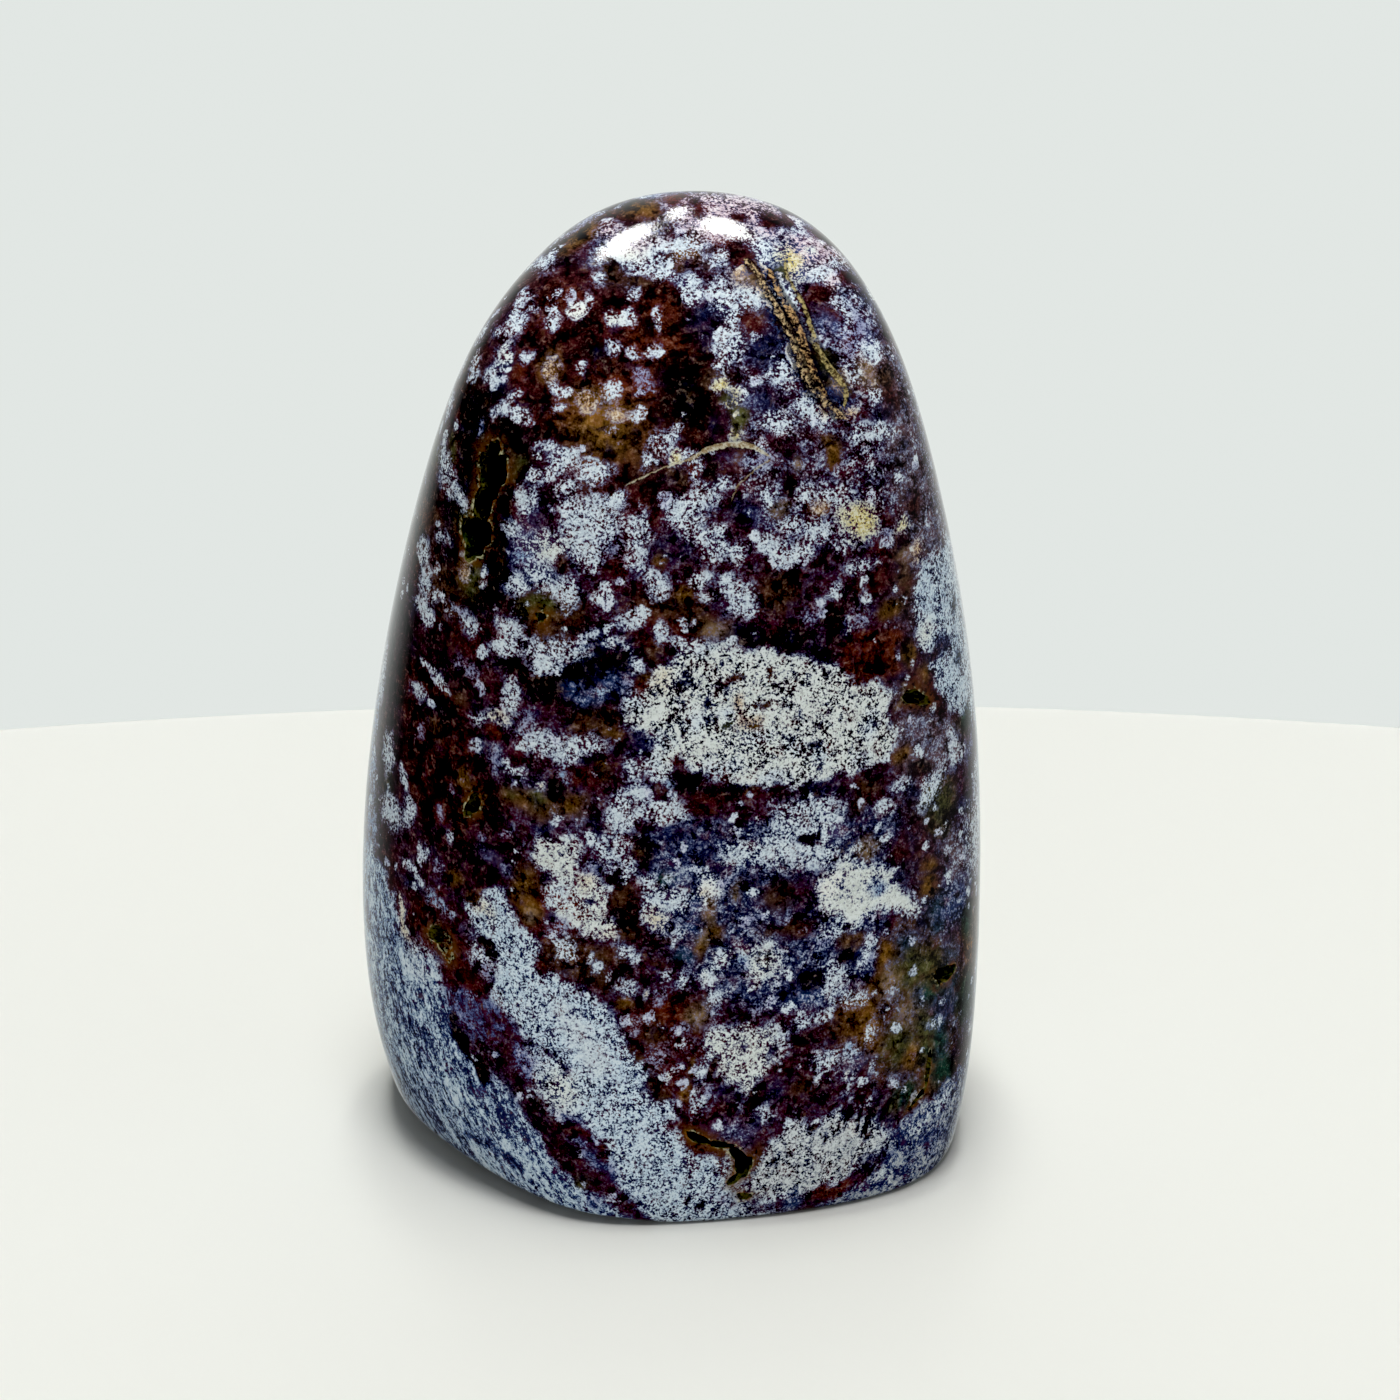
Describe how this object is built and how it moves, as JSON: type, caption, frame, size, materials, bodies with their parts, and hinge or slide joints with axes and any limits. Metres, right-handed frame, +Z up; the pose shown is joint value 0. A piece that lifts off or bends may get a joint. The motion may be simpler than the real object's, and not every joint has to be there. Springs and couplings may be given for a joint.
{
  "type": "ocean jasper freeform",
  "caption": "Tall polished freeform stone of spotted ocean jasper with small open pits, standing on a flat sawn foot.",
  "frame": {"origin": "middle of the stone's box at the underside of the flat foot", "axes": "+Z up from the foot to the crown, -Y out of the broad front face, +X to the right seen from the front"},
  "size_m": [0.0764, 0.0608, 0.1182],
  "materials": {
    "jasper": "polished to a high gloss, dark maroon and blue-black ground with pale blue, white, ochre and olive markings"
  },
  "bodies": {
    "root": {"stone": "jasper"}
  },
  "joints": []
}
